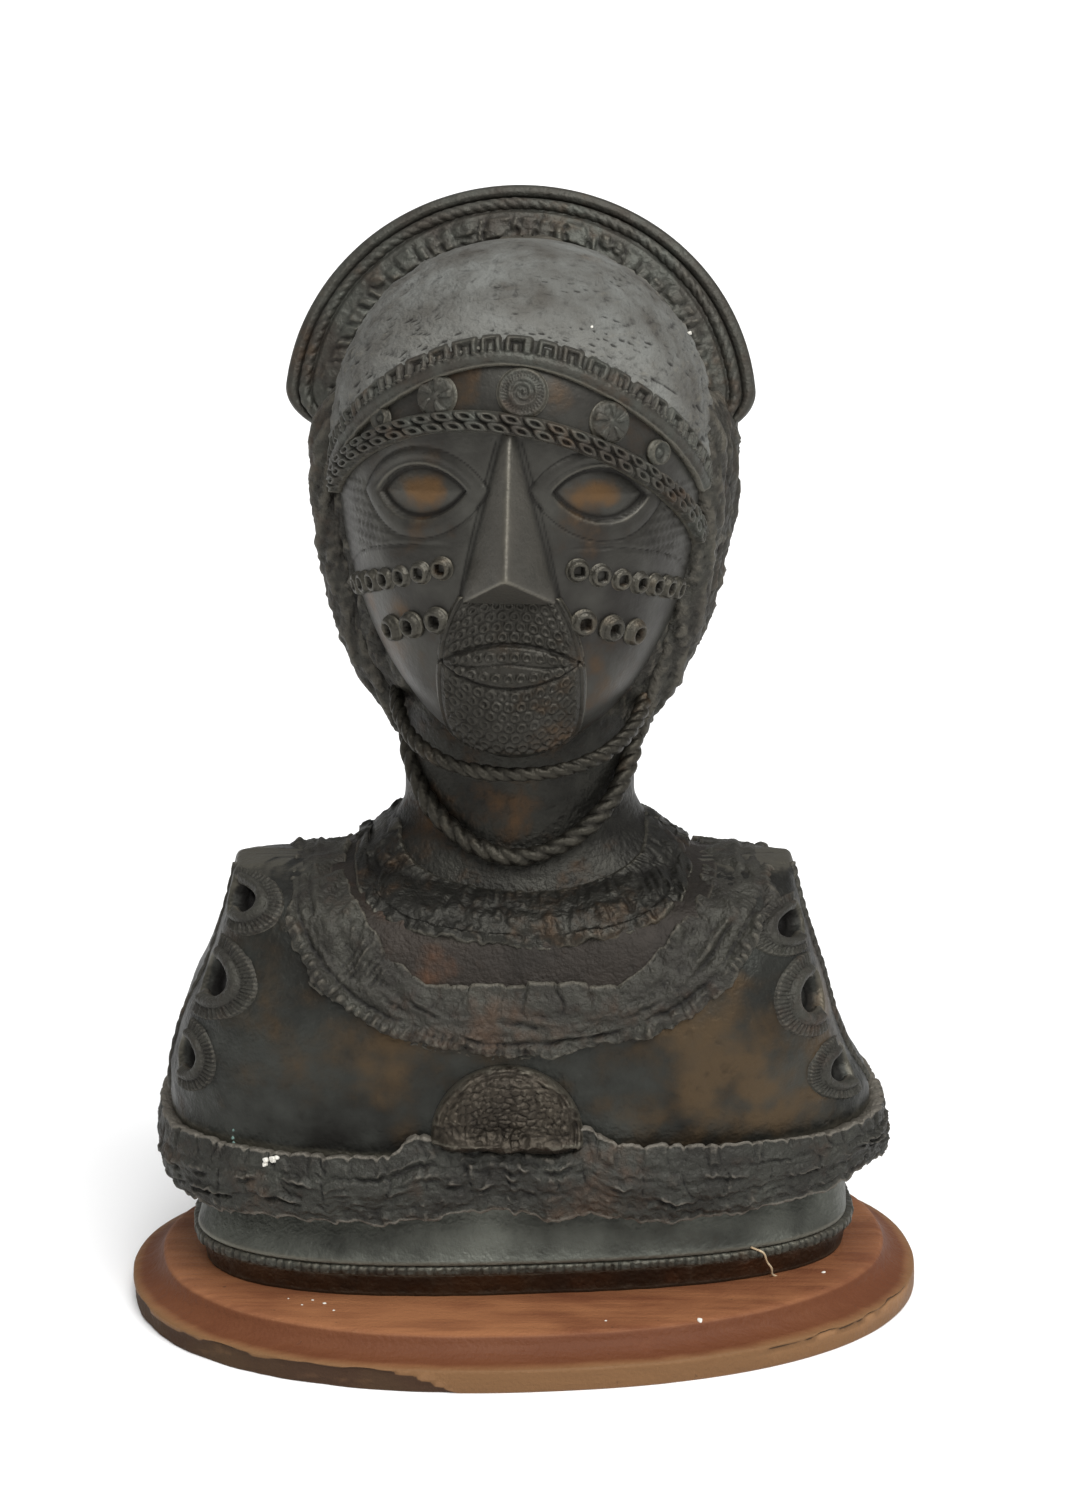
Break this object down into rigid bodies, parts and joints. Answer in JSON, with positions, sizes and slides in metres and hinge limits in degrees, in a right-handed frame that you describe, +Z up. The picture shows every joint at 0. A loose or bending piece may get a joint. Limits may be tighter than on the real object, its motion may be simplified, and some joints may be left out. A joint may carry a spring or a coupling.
{
  "type": "bronze bust",
  "caption": "Patinated cast-bronze bust of a masked, hooded figure with a flared rope-edged headdress and an ornamented breastplate, standing on an oval wooden plinth.",
  "frame": {"origin": "centre of the plinth's underside", "axes": "+X to the viewer's right, +Y to the back of the bust, +Z up; the figure faces -Y"},
  "size_m": [0.3996, 0.2908, 0.5544],
  "materials": {
    "stained_wood": "red-brown stained wood, dull, worn and chipped along its lower edge",
    "bronze": "dark brown to grey-green patinated cast bronze, satin, rubbed to orange-brown in places"
  },
  "bodies": {
    "root": {"wooden_plinth": "stained_wood", "bronze_bust": "bronze"}
  },
  "joints": []
}
